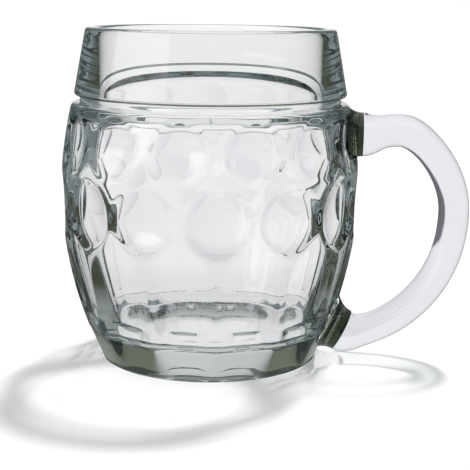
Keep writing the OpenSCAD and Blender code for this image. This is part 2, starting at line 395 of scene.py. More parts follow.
@dataclass(frozen=True)
class GlassFinish:
    """A clear moulded glass: its tints, painted shade at its edges and on marked places, and the shadow
    that it casts.
    """

    name: str
    ior: float
    pale: Colour
    # tint of random streaks, and of the painted shade in the dimples
    streak_and_dimple_shade: Colour
    absorbed: Colour
    density: float
    haze: float
    ripple_height: float
    # painted shade at grazing edges, standing in for the dark room that the glass shows there
    edge: Colour
    painted_edge_from: float
    # painted shade where the mesh carries the shade mark
    painted_shade: Colour
    shade_slant: float
    shade_gain: float
    shade_from: float
    shade_to: float
    shadow_clear: Colour
    shadow_rim: Colour
    shadow_from: float
    shadow_to: float

    def tinted(self, tree: Tree, tint: Socket, facing: Socket) -> Socket:
        """Colour of the glass, with painted shade at its grazing edges and a darker painted shade where
        the mesh carries the shade mark.

        Args:
            tree: the material's node tree.
            tint: colour of the skin.
            facing: how far the surface turns away from the ray.

        Returns:
            The colour.
        """
        mark = carried(tree, Mark.SHADE)
        slant = calculate(tree, "MULTIPLY_ADD", mark, self.shade_slant, facing)
        lifted = calculate(tree, "SUBTRACT", slant, carried(tree, Mark.FLOOR))
        edge = smooth_step(tree, lifted, self.painted_edge_from, 1.0)
        gain = calculate(tree, "MULTIPLY_ADD", edge, self.shade_gain, 1.0)
        shown = smooth_step(tree, facing, self.shade_from, self.shade_to)
        # how strongly the painted shade shows
        depth = calculate(tree, "MULTIPLY", calculate(tree, "MULTIPLY", mark, gain), shown)
        edged = choose(tree, edge, tint, self.edge)
        return choose(tree, calculate(tree, "MINIMUM", depth, 1.0), edged, self.painted_shade)

    def cast(self, tree: Tree, facing: Socket) -> Socket:
        """Colour of the light that reaches the table through the glass.

        Args:
            tree: the material's node tree.
            facing: how far the surface turns away from the ray.

        Returns:
            The colour.
        """
        slanted = smooth_step(tree, facing, self.shadow_from, self.shadow_to)
        strength = calculate(tree, "MULTIPLY", slanted, carried(tree, Mark.CAST))
        return choose(tree, strength, self.shadow_clear, self.shadow_rim)

    def material(self, skin: Tree) -> bpy.types.Material:
        """Make the material.

        Args:
            skin: the node group of the glass skin.

        Returns:
            A glass that also lets part of the light through to the table.
        """
        material = bpy.data.materials.new(self.name)
        material.use_nodes = True
        tree = material.node_tree
        glass = tree.nodes["Principled BSDF"]
        output = tree.nodes["Material Output"]
        facing = tree.nodes.new("ShaderNodeLayerWeight").outputs["Facing"]
        path = tree.nodes.new("ShaderNodeLightPath")
        surface = tree.nodes.new("ShaderNodeGroup")
        surface.node_tree = skin
        bump = tree.nodes.new("ShaderNodeBump")
        through = tree.nodes.new("ShaderNodeBsdfTransparent")
        volume = tree.nodes.new("ShaderNodeVolumeAbsorption")
        shown = mix_shaders(
            tree, path.outputs[Ray.SHADOW.value], glass.outputs["BSDF"], through.outputs["BSDF"]
        )
        fed = (
            (surface, "Haze", self.haze),
            (surface, "Dimple shade", carried(tree, Mark.DIMPLE_SHADE)),
            (surface, "Pale", self.pale),
            (surface, "Streak and dimple shade", self.streak_and_dimple_shade),
            (bump, "Strength", 1.0),
            (bump, "Distance", self.ripple_height * MM),
            (bump, "Height", surface.outputs["Height"]),
            (glass, "Metallic", 0.0),
            (glass, "Transmission Weight", 1.0),
            (glass, "IOR", self.ior),
            (glass, "Base Color", self.tinted(tree, surface.outputs["Tint"], facing)),
            (glass, "Roughness", surface.outputs["Roughness"]),
            (glass, "Normal", bump.outputs["Normal"]),
            (through, "Color", self.cast(tree, facing)),
            (volume, "Color", self.absorbed),
            (volume, "Density", self.density),
            (output, "Surface", shown),
            (output, "Volume", volume.outputs["Volume"]),
        )
        for node, name, term in fed:
            feed(tree, node.inputs[name], term)
        return material


@dataclass(frozen=True)
class DimpleRow:
    """One row of dimples round the barrel, in millimetres."""

    height: float
    width: float
    tall: float
    turn: Turn


@dataclass(frozen=True)
class ProfileCuts:
    """How many stretches each part of the vessel's and the pads' profiles is cut into."""

    hollow: int = 8
    ring: int = 3
    foot: int = 5
    heel: int = 12
    barrel: int = 92
    shoulder: int = 8
    collar: int = 7
    cone: int = 11
    lip: int = 6
    mouth: int = 10
    wall: int = 78
    corner: int = 8
    dish: int = 4
    floor: int = 4
    flare: int = 10


@dataclass
class MugBody:
    """The vessel: collar, groove, patterned barrel, faceted heel and hollow foot, in millimetres."""

    mug_h: float = 120.0
    rim_r: float = 45.0
    lip_round: float = 1.4
    mouth_r: float = 40.7
    collar_r: float = 49.0
    collar_z: float = 96.0
    collar_round: float = 1.0
    groove_h: float = 2.2
    groove_r: float = 47.1
    groove_round: float = 0.5
    shoulder_r: float = 50.6
    shoulder_round: float = 3.0
    barrel_r: float = 54.0
    barrel_z: float = 62.0
    heel_h: float = 12.5
    heel_r: float = 44.8
    heel_ledge: float = 0.12
    foot_r: float = 38.6
    foot_round: float = 1.2
    hollow_r: float = 32.0
    hollow_depth: float = 2.2
    cavity_r: float = 50.0
    neck_top: float = 95.5
    neck_low: float = 85.5
    wall_t: float = 4.0
    floor_t: float = 10.5
    corner_r: float = 41.5
    corner_round: float = 6.0
    dish_r: float = 21.0
    dish_rise: float = 1.5
    dimple_count: int = 13
    dimple_curve: float = 30.0
    dimple_t: float = 3.2
    upper_row: DimpleRow = DimpleRow(height=80.3, width=21.8, tall=20.6, turn=Turn.HALF_STEP)
    lower_row: DimpleRow = DimpleRow(height=57.8, width=24.0, tall=24.0, turn=Turn.ON_HANDLE)
    flute_w: float = 21.6
    flute_curve: float = 100.0
    flute_z: float = 30.0
    edge_blend: float = 0.35
    facet_blend: float = 0.5
    bulge_blend: float = 1.2
    pad_r: float = 7.9
    pad_flare: float = 8.0
    pad_flare_share: float = 0.8
    # how far round and behind each pad's face the pad's painted shade reaches
    pad_wide: float = 13.0
    pad_depth: float = 8.0
    upper_pad_out: float = 2.8
    upper_pad_z: float = 82.6
    lower_pad_out: float = 6.0
    lower_pad_z: float = 9.6
    lower_pad_tilt: float = 27.0
    # painted shade on the heel and on a thin line under the collar; the barrel's share of cast shadow
    heel_shade: float = 0.17
    ledge_shade: float = 0.5
    barrel_cast: float = 0.06
    # painted shade in the dimples: its strength mid-dimple, how much it changes from side to side, and
    # how soft its rim is
    dimple_shade_mid: float = 0.5
    dimple_shade_side: float = 0.7
    dimple_shade_soft: float = 0.2
    steps_per_dimple: int = 28
    pad_steps: int = 72
    cuts: ProfileCuts = ProfileCuts()

    def __post_init__(self) -> None:
        """Work out the arcs and angles that the driving sizes give."""
        self.shoulder_z = self.collar_z - self.groove_h - self.shoulder_round
        self.upper_arc = arc_radius(self.barrel_r - self.shoulder_r, self.shoulder_z - self.barrel_z)
        self.lower_arc = arc_radius(self.barrel_r - self.heel_r, self.barrel_z - self.heel_h)
        self.corner_z = self.floor_t + self.dish_rise + self.corner_round
        self.floor_arc = arc_radius(self.cavity_r - self.corner_r, self.barrel_z - self.corner_z)
        self.neck_r = self.lined_at(self.neck_low)
        neck_h = self.neck_top - self.neck_low
        self.neck_arc = arc_radius((self.neck_r - self.mouth_r) / 2, neck_h / 2)
        self.hollow_arc = arc_radius(self.hollow_depth, self.hollow_r)
        self.step = TAU / self.dimple_count
        self.facet_foot = self.foot_r + self.foot_round / 2
        self.facet_slope = (self.heel_r * math.cos(self.step / 2) - self.facet_foot) / self.heel_h
        self.upper_pad_x = self.barrel_at(self.upper_pad_z) + self.upper_pad_out
        heel_at_pad = self.facet_foot + self.lower_pad_z * self.facet_slope
        tilt = math.radians(self.lower_pad_tilt)
        self.lower_pad_x = heel_at_pad + self.lower_pad_out / math.cos(tilt)

    def barrel_arc(self, z: float) -> float:
        """Radius of the barrel's side arc at a height."""
        return self.upper_arc if z > self.barrel_z else self.lower_arc

    def barrel_at(self, z: float) -> float:
        """Distance of the plain barrel from the axis at a height."""
        return self.barrel_r - arc_run(self.barrel_arc(z), z - self.barrel_z)

    def lined_at(self, z: float) -> float:
        """Distance from the axis of a line that runs one wall thickness inside the upper barrel."""
        return self.cavity_r - arc_run(self.upper_arc - self.wall_t, z - self.barrel_z)

    def cavity_at(self, z: float) -> float:
        """Distance of the cavity's wall from the axis, before the dimples bulge into it.

        Args:
            z: height of the point.

        Returns:
            The distance.
        """
        if z >= self.neck_top:
            return self.mouth_r
        if z > (self.neck_top + self.neck_low) / 2:
            return self.mouth_r + arc_run(self.neck_arc, self.neck_top - z)
        if z > self.neck_low:
            return self.neck_r - arc_run(self.neck_arc, z - self.neck_low)
        if z > self.barrel_z:
            return self.lined_at(z)
        return self.cavity_r - arc_run(self.floor_arc, self.barrel_z - z)

    def underside(self) -> Profile:
        """Draw the hollow under the foot and the flat foot ring.

        Returns:
            The profile, from the axis outwards.
        """
        dome = self.hollow_depth - self.hollow_arc
        hollow = [
            Vector((r, 0, dome + math.sqrt(self.hollow_arc ** 2 - r * r)))
            for r in spread(0, self.hollow_r, self.cuts.hollow)
        ]
        ring = spread(self.hollow_r, self.foot_r, self.cuts.ring)[1:-1]
        return hollow + [Vector((r, 0, 0)) for r in ring]

    def outside(self) -> Profile:
        """Draw the outside, before the pattern is pressed in.

        Returns:
            The profile, from the foot's edge up to the groove.
        """
        edge_r = self.foot_r + self.foot_round
        run, rise = self.heel_r - edge_r, self.heel_h - self.foot_round
        lean = math.degrees(math.atan2(run, rise))
        below = (self.foot_r, self.foot_round)
        foot = arc_points(below, self.foot_round, -90, -lean, self.cuts.foot)
        heel = [
            Vector((edge_r + (z - self.foot_round) * (run / rise), 0, z))
            for z in spread(self.foot_round, self.heel_h - self.heel_ledge, self.cuts.heel)[1:]
        ]
        barrel = [
            Vector((self.barrel_at(z), 0, z))
            for z in spread(self.heel_h, self.shoulder_z, self.cuts.barrel)
        ]
        above = (self.shoulder_r - self.shoulder_round, self.shoulder_z)
        start = math.degrees(math.asin((self.shoulder_z - self.barrel_z) / self.upper_arc))
        shoulder = arc_points(above, self.shoulder_round, start, 90, self.cuts.shoulder)
        return foot + heel + barrel + shoulder[1:]

    def collar(self) -> Profile:
        """Draw the groove, the conical collar and the rounded lip.

        Returns:
            The profile, from the shoulder up and over the lip.
        """
        low = self.collar_z - self.groove_h
        groove = [
            Vector((self.groove_r, 0, low + self.groove_round / 2)),
            Vector((self.groove_r - self.groove_round / 2, 0, low + self.groove_h / 2)),
            Vector((self.groove_r, 0, self.collar_z - self.groove_round / 2)),
        ]
        lean = math.degrees(math.atan2(self.collar_r - self.rim_r, self.mug_h - self.collar_z))
        below = (self.collar_r - self.collar_round, self.collar_z + self.collar_round)
        lower = arc_points(below, self.collar_round, -90, lean, self.cuts.collar)
        top = self.mug_h - self.lip_round
        outer_at = (self.rim_r - self.lip_round, top)
        inner_at = (self.mouth_r + self.lip_round, top)
        outer = arc_points(outer_at, self.lip_round, lean, 90, self.cuts.lip)
        inner = arc_points(inner_at, self.lip_round, 90, 180, self.cuts.lip)
        cone = [lower[-1].lerp(outer[0], t) for t in spread(0, 1, self.cuts.cone)[1:-1]]
        return groove + lower + cone + outer + inner

    def inside(self) -> Profile:
        """Draw the drinking space.

        Returns:
            The profile, from below the lip down to the middle of the floor.
        """
        top = self.mug_h - self.lip_round
        mouth = spread(top, self.collar_z, self.cuts.mouth)[1:]
        wall = spread(self.collar_z, self.corner_z, self.cuts.wall)[1:]
        lean = -math.degrees(math.asin((self.barrel_z - self.corner_z) / self.floor_arc))
        corner_x = self.corner_r - self.corner_round
        corner = arc_points((corner_x, self.corner_z), self.corner_round, lean, -90, self.cuts.corner)
        slope = self.dish_rise / (corner_x - self.dish_r)
        dish = spread(corner_x, self.dish_r, self.cuts.dish)[1:]
        floor = spread(self.dish_r, 0, self.cuts.floor)[1:]
        return [
            *(Vector((self.cavity_at(z), 0, z)) for z in mouth + wall),
            *corner[1:],
            *(Vector((r, 0, self.floor_t + slope * (r - self.dish_r))) for r in dish),
            *(Vector((r, 0, self.floor_t)) for r in floor),
        ]

    def off_centre(self, angle: float, turn: Turn) -> float:
        """Angle from the nearest copy of a pattern, between minus and plus half a step."""
        share = angle / self.step - turn.value
        return (share - round(share)) * self.step

    def press_depth(self, z: float, curve: float, width: float) -> float:
        """Depth at which a hollow of a radius cuts a patch of a width out of the barrel."""
        return arc_run(self.barrel_at(z), width / 2) + arc_run(curve, width / 2)

    def dimple(self, row: DimpleRow, angle: float, z: float) -> float:
        """How far below the barrel a row's hollow lies at a point.

        Args:
            row: the row of dimples.
            angle: angle round the axis from the handle.
            z: height of the point.

        Returns:
            The depth, which is below zero outside the dimple.
        """
        depth = self.press_depth(row.height, self.dimple_curve, row.width)
        aside = self.barrel_at(row.height) * math.sin(self.off_centre(angle, row.turn))
        across = aside / (row.width / 2)
        up = (z - row.height) / (row.tall / 2)
        return depth * (1 - across * across - up * up)

    def dimples(self, angle: float, z: float) -> float:
        """How far below the barrel the two rows lie at a point, rounded where they meet."""
        upper, lower = (self.dimple(row, angle, z) for row in (self.upper_row, self.lower_row))
        return soft_max(upper, lower, self.edge_blend)

    def flute(self, angle: float, z: float) -> float:
        """How far below the barrel a flute's hollow lies at a point.

        Args:
            angle: angle round the axis from the handle.
            z: height of the point.

        Returns:
            The depth, which is below zero outside the flute.
        """
        depth = self.press_depth(self.flute_z, self.flute_curve, self.flute_w)
        across = self.barrel_at(self.flute_z) * math.sin(self.off_centre(angle, Turn.HALF_STEP))
        lean = math.asin((self.barrel_z - self.flute_z) / self.lower_arc)
        along = self.lower_arc * (lean - math.asin(min(1.0, (self.barrel_z - z) / self.lower_arc)))
        return depth * (1 - (2 * across / self.flute_w) ** 2) - along * along / (2 * self.lower_arc)

    def press(self, bm: bmesh.types.BMesh) -> None:
        """Press the dimples, flutes and heel facets into a turned vessel, inside and out.

        Args:
            bm: the turned vessel, whose vertices are moved in towards the axis.
        """
        for vert in bm.verts:
            x, y, z = vert.co
            radius = math.hypot(x, y)
            angle = math.atan2(y, x)
            if not self.foot_round / 2 < z < self.shoulder_z:
                continue
            if z > self.corner_z and abs(radius - self.cavity_at(z)) < TOUCH:
                bulge = self.barrel_at(z) - self.dimples(angle, z) - self.dimple_t
                pressed = -soft_max(-radius, -bulge, self.bulge_blend)
            elif radius < self.foot_r:
                continue
            elif z < self.heel_h:
                middle = self.facet_foot + z * self.facet_slope
                facet = middle / math.cos(self.off_centre(angle, Turn.HALF_STEP))
                pressed = -soft_max(-radius, -facet, self.facet_blend)
            else:
                depth = self.dimples(angle, z)
                if z < self.barrel_z:
                    depth = soft_max(depth, self.flute(angle, z), self.edge_blend)
                pressed = radius - soft_max(depth, 0, self.edge_blend)
            vert.co.x *= pressed / radius
            vert.co.y *= pressed / radius

    def pad(self, name: str, depth: float, place: Matrix) -> bpy.types.Object:
        """Make one of the round pads that the handle is joined to.

        Args:
            name: name of the pad's object.
            depth: how far the pad reaches back into the wall.
            place: where its face is, looking along its own Z axis.

        Returns:
            A closed solid that is joined to the vessel.
        """
        reach = min(depth, self.pad_flare * self.pad_flare_share)
        side = [
            Vector((self.pad_r + arc_run(self.pad_flare, t), 0, -t))
            for t in spread(0, reach, self.cuts.flare)
        ]
        points = [Vector((0, 0, 0)), *side]
        if depth - reach >= TOUCH:
            points.append(Vector((side[-1].x, 0, -depth)))
        points.append(Vector((0, 0, -depth)))
        bm = lathe(points, self.pad_steps)
        bmesh.ops.transform(bm, matrix=place, verts=bm.verts)
        return new_object(name, bm)

    def build(self) -> bpy.types.Object:
        """Turn the vessel, press its pattern and join the two pads to it.

        Returns:
            The finished piece, in metres.
        """
        bm = lathe(
            self.underside() + self.outside() + self.collar() + self.inside(),
            self.dimple_count * self.steps_per_dimple,
        )
        self.press(bm)
        body = new_object("mug_body_glass", bm)
        level = Matrix.Rotation(math.radians(90), 4, "Y")
        tilted = Matrix.Rotation(math.radians(90 + self.lower_pad_tilt), 4, "Y")
        upper_at = Matrix.Translation((self.upper_pad_x, 0, self.upper_pad_z)) @ level
        lower_at = Matrix.Translation((self.lower_pad_x, 0, self.lower_pad_z)) @ tilted
        pads = [
            self.pad("upper_pad", self.upper_pad_out + self.wall_t, upper_at),
            self.pad("lower_pad", 2 * self.lower_pad_out, lower_at),
        ]
        for pad in pads:
            join = body.modifiers.new(pad.name, "BOOLEAN")
            join.operation = "UNION"
            join.object = pad
        graph = bpy.context.evaluated_depsgraph_get()
        joined = bpy.data.meshes.new_from_object(body.evaluated_get(graph))
        body.modifiers.clear()
        clean(joined)
        plain, body.data = body.data, joined
        bpy.data.meshes.remove(plain)
        for pad in pads:
            bpy.data.objects.remove(pad)
        body.data.name = body.name
        self.tone(body.data, [upper_at.inverted(), lower_at.inverted()])
        body.data.transform(Matrix.Scale(MM, 4))
        shade(body.data)
        return body

    def tone(self, mesh: bpy.types.Mesh, pads: list[Matrix]) -> None:
        """Write the values that the mesh carries to its material, painted shade among them.

        Args:
            mesh: the joined vessel, in millimetres.
            pads: the changes that carry a point to each pad's own place.
        """
        rows = [self.marks(vert.co, pads) for vert in mesh.vertices]
        for mark, values in zip(Mark, zip(*rows)):
            layer = mesh.attributes.new(mark.value, "FLOAT", "POINT")
            layer.data.foreach_set("value", values)

    def marks(self, at: Vector, pads: list[Matrix]) -> tuple[float, float, float, float]:
        """Work out what the mesh carries at a point.

        Args:
            at: the point.
            pads: the changes that carry a point to each pad's own place.

        Returns:
            The values, in the order of Mark.
        """
        out, z = at.xy.length, at.z
        pad = max(
            ease(p.z, -self.pad_depth, -self.pad_depth / 2)
            * ease(p.xy.length, self.pad_wide, self.pad_r)
            for p in (place @ at for place in pads)
        )
        heel = ease(z, self.heel_h, self.heel_h - self.foot_round) * (out > self.foot_r)
        on_collar = z > self.collar_z - TOUCH and out > self.groove_r
        ledge = ease(z, self.collar_z + self.collar_round, self.collar_z) * on_collar
        in_cavity = z > self.floor_t - TOUCH and out < self.cavity_at(z) + TOUCH
        collar = ease(z, self.shoulder_z, self.collar_z)
        foot = ease(z, self.flute_z, self.heel_h)
        return (
            # painted shade: full on the pads, partial on the heel and on the line under the collar
            max(pad, self.heel_shade * heel, self.ledge_shade * ledge),
            self.dimple_shade_share(math.atan2(at.y, at.x), z),
            ease(z, 2 * self.corner_z, self.corner_z) * in_cavity,
            max(collar, foot, self.barrel_cast) * (1 - pad),
        )

    def dimple_shade_share(self, angle: float, z: float) -> float:
        """How strongly the painted shade in a dimple shows at a point: stronger on one of its sides
        than on the other.

        Args:
            angle: angle round the axis from the handle.
            z: height of the point.

        Returns:
            A share, which is 0 outside the dimples.
        """
        shares = []
        for row in (self.upper_row, self.lower_row):
            depth = self.press_depth(row.height, self.dimple_curve, row.width)
            side = 2 * self.off_centre(angle, row.turn) / self.step
            within = ease(self.dimple(row, angle, z) / depth, 0, self.dimple_shade_soft)
            shares.append(within * (self.dimple_shade_mid - self.dimple_shade_side * side))
        return max(0.0, *shares)

    def dress(self, body: bpy.types.Object, material: bpy.types.Material) -> None:
        """Give the vessel its glass and put it in the frame.

        Args:
            body: the vessel's object.
            material: its glass.
        """
        body.data.materials.clear()
        body.data.materials.append(material)
        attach(body, "root")
        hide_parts("mug_body")


@dataclass(frozen=True)
class Knot:
    """A place on the handle's middle line, in millimetres, with a heading in degrees and a reach."""

    x: float
    z: float
    heading: float
    reach: float

    def at(self) -> Vector:
        """The knot's place."""
        return Vector((self.x, 0, self.z))

    def arm(self, sign: float) -> Vector:
        """The end of the arm that steers the line ahead of the knot or behind it."""
        angle = math.radians(self.heading)
        return self.at() + sign * self.reach * Vector((math.cos(angle), 0, math.sin(angle)))


@dataclass(frozen=True)
class PaintedLineStop:
    """How far the handle's painted dark line, a painted reflection, reaches in at a share of the bar's
    length.
    """

    along: float
    reach: float


@dataclass
class LoopHandle:
    """The solid glass bar, bent to a loop, that is joined to the vessel's two pads, in millimetres."""

    body: MugBody
    grip_x: float = 88.9
    grip_z: float = 55.0
    grip_t: float = 11.0
    grip_w: float = 15.0
    grip_reach: float = 15.0
    upper_reach: float = 5.0
    thumb_in: float = 19.5
    thumb_rise: float = 1.6
    thumb_heading: float = -4.0
    thumb_reach: float = 6.5
    thumb_swell: float = 0.8
    thumb_length: float = 8.0
    bend_in: float = 15.0
    bend_rise: float = 9.8
    bend_heading: float = -137.0
    bend_reach: float = 13.0
    lower_reach: float = 4.0
    root_length: float = 5.5
    seam: float = 0.05
    # painted dark line along the bar's inner edge, a painted reflection
    painted_line: tuple[PaintedLineStop, ...] = (
        PaintedLineStop(0.05, 0.0),
        PaintedLineStop(0.08, 0.09),
        PaintedLineStop(0.25, 0.12),
        PaintedLineStop(0.36, 0.22),
        PaintedLineStop(0.5, 0.37),
        PaintedLineStop(0.55, 0.32),
        PaintedLineStop(0.6, 0.0),
    )
    painted_line_soft: float = 0.06
    rings_per_span: int = 36
    sides: int = 72

    def knots(self) -> list[Knot]:
        """Place the knots of the middle line.

        Returns:
            The knots, from the upper pad round to the lower one.
        """
        b = self.body
        tilt = math.radians(b.lower_pad_tilt)
        thumb_z = b.upper_pad_z + self.thumb_rise
        bend_z = b.lower_pad_z + self.bend_rise
        low_x = b.lower_pad_x + self.seam * math.cos(tilt)
        low_z = b.lower_pad_z - self.seam * math.sin(tilt)
        return [
            Knot(b.upper_pad_x + self.seam, b.upper_pad_z, 0, self.upper_reach),
            Knot(self.grip_x - self.thumb_in, thumb_z, self.thumb_heading, self.thumb_reach),
            Knot(self.grip_x, self.grip_z, -90, self.grip_reach),
            Knot(self.grip_x - self.bend_in, bend_z, self.bend_heading, self.bend_reach),
            Knot(low_x, low_z, -180 - b.lower_pad_tilt, self.lower_reach),
        ]

    def route(self) -> Route:
        """Follow the middle line.

        Returns:
            A list of places, each with the direction in which the bar runs there.
        """
        found = []
        knots = self.knots()
        for k, (a, b) in enumerate(zip(knots, knots[1:])):
            p, q, r, s = a.at(), a.arm(1), b.arm(-1), b.at()
            for t in spread(0, 1, self.rings_per_span)[1 if k else 0:]:
                u = 1 - t
                place = u ** 3 * p + 3 * u * u * t * q + 3 * u * t * t * r + t ** 3 * s
                run = u * u * (q - p) + 2 * u * t * (r - q) + t * t * (s - r)
                found.append((place, run.normalized()))
        return found

    def section(self, place: Vector, ends: tuple[Vector, Vector], thumb: Vector) -> tuple[float, float]:
        """Half sizes of the bar at a place on its middle line.

        Args:
            place: the place.
            ends: the middles of the two joined faces.
            thumb: the thumb rest.

        Returns:
            Half the thickness across the finger gap, and half the width across the hand.
        """
        gap = min((place - end).length for end in ends)
        root = math.exp(-((gap / self.root_length) ** 2))
        swell = math.exp(-(((place - thumb).length / self.thumb_length) ** 2))
        plain_t, plain_w = self.grip_t / 2, self.grip_w / 2
        half_t = plain_t + (self.body.pad_r - plain_t) * root + self.thumb_swell / 2 * swell
        return half_t, plain_w + (self.body.pad_r - plain_w) * root

    def painted_line_reach(self, along: float) -> float:
        """How far the painted dark line reaches in from the bar's inner edge, as a share of half its
        thickness.

        Args:
            along: share of the bar's length, from the upper pad.

        Returns:
            The reach, which is 0 where there is no line.
        """
        for start, end in zip(self.painted_line, self.painted_line[1:]):
            if start.along <= along <= end.along:
                share = ease(along, start.along, end.along)
                return start.reach + (end.reach - start.reach) * share
        return 0.0

    def tone(self, bm: bmesh.types.BMesh, route: Route, halves: list[float]) -> None:
        """Mark the painted dark line, a painted reflection along the inner side of the bar, and all
        that casts a shadow.

        Args:
            bm: the bar, whose vertices come ring by ring.
            route: places and headings along the middle line.
            halves: half the bar's thickness at each place.
        """
        mark = bm.verts.layers.float.new(Mark.SHADE.value)
        cast = bm.verts.layers.float.new(Mark.CAST.value)
        bm.verts.ensure_lookup_table()
        last = len(route) - 1
        for i, ((place, run), half_t) in enumerate(zip(route, halves)):
            inwards = Vector((run.z, 0, -run.x)) / half_t
            reach = self.painted_line_reach(i / last)
            for vert in bm.verts[i * self.sides:(i + 1) * self.sides]:
                edge = 1 - (vert.co - place).dot(inwards)
                # painted dark line, strongest at the inner edge
                vert[mark] = ease(reach - edge, 0, self.painted_line_soft) if reach else 0.0
                vert[cast] = float(0 < i < last)

    def ring_at(self, place: Vector, run: Vector, half_t: float, half_w: float) -> Matrix:
        """Work out the change that carries a unit circle to the bar's section.

        Args:
            place: the place on the middle line.
            run: the direction in which the bar runs there.
            half_t: half the thickness across the finger gap.
            half_w: half the width across the hand.

        Returns:
            The change.
        """
        across = Vector((-run.z, 0, run.x))
        side = Vector((0, 1, 0))
        turn = Matrix((across * half_t, side * half_w, run)).transposed().to_4x4()
        return Matrix.Translation(place) @ turn

    def build(self) -> bpy.types.Object:
        """Draw the bar out along its middle line, ring by ring, and close its two ends.

        Returns:
            The finished piece, in metres.
        """
        route = self.route()
        ends = (route[0][0], route[-1][0])
        thumb = self.knots()[1].at()
        sections = [self.section(place, ends, thumb) for place, _ in route]
        frames = [self.ring_at(*point, *section) for point, section in zip(route, sections)]
        bm = bmesh.new()
        bmesh.ops.create_circle(bm, cap_ends=False, segments=self.sides, radius=1, matrix=frames[0])
        ring = first = list(bm.edges)
        for before, after in zip(frames, frames[1:]):
            drawn = bmesh.ops.extrude_edge_only(bm, edges=ring)["geom"]
            moved = [g for g in drawn if isinstance(g, bmesh.types.BMVert)]
            bmesh.ops.transform(bm, matrix=after @ before.inverted(), verts=moved)
            edges = [g for g in drawn if isinstance(g, bmesh.types.BMEdge)]
            ring = [edge for edge in edges if set(edge.verts) <= set(moved)]
        self.tone(bm, route, [half_t for half_t, _ in sections])
        for end in (first, ring):
            bmesh.ops.edgeloop_fill(bm, edges=end)
        bmesh.ops.recalc_face_normals(bm, faces=bm.faces)
        bar = new_object("handle_glass", bm, MM)
        shade(bar.data)
        return bar

    def dress(self, bar: bpy.types.Object, material: bpy.types.Material) -> None:
        """Give the handle its glass and put it in the frame.

        Args:
            bar: the handle's object.
            material: its glass.
        """
        bar.data.materials.clear()
        bar.data.materials.append(material)
        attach(bar, "root")
        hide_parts("handle")


@dataclass(frozen=True)
class SkyWindow:
    """A soft-edged bright patch of the studio, as directions seen from the mug, in degrees."""

    azimuth: float
    half_width: float
    low: float
    high: float
    soft: float
    radiance: float

    def add(self, tree: Tree, direction: Socket) -> Socket:
        """Draw the patch.

        Args:
            tree: the world's node tree.
            direction: the direction of the ray.

        Returns:
            The light of the patch along the ray.
        """
        parts = tree.nodes.new("ShaderNodeSeparateXYZ")
        tree.links.new(turn_level(tree, direction, self.azimuth), parts.inputs["Vector"])
        bearing = calculate(tree, "ARCTAN2", parts.outputs["X"], parts.outputs["Y"])
        off = calculate(tree, "ABSOLUTE", bearing)
        level = calculate(tree, "ARCSINE", parts.outputs["Z"])
        sides = self.edge(tree, off, self.half_width, -1)
        above = self.edge(tree, level, self.low, 1)
        below = self.edge(tree, level, self.high, -1)
        lit = calculate(tree, "MULTIPLY", calculate(tree, "MULTIPLY", sides, above), below)
        return calculate(tree, "MULTIPLY", lit, self.radiance)

    def edge(self, tree: Tree, angle: Socket, limit: float, sign: int) -> Socket:
        """A soft step at a limit in degrees, up for a sign of 1 and down for a sign of -1."""
        half = sign * self.soft / 2
        return smooth_step(tree, angle, math.radians(limit - half), math.radians(limit + half))


@dataclass(frozen=True)
class ToneStop:
    """A colour that the table glows with, at a distance from the middle of the mug, in metres; its
    darker tones are painted shade.
    """

    distance: float
    colour: Colour


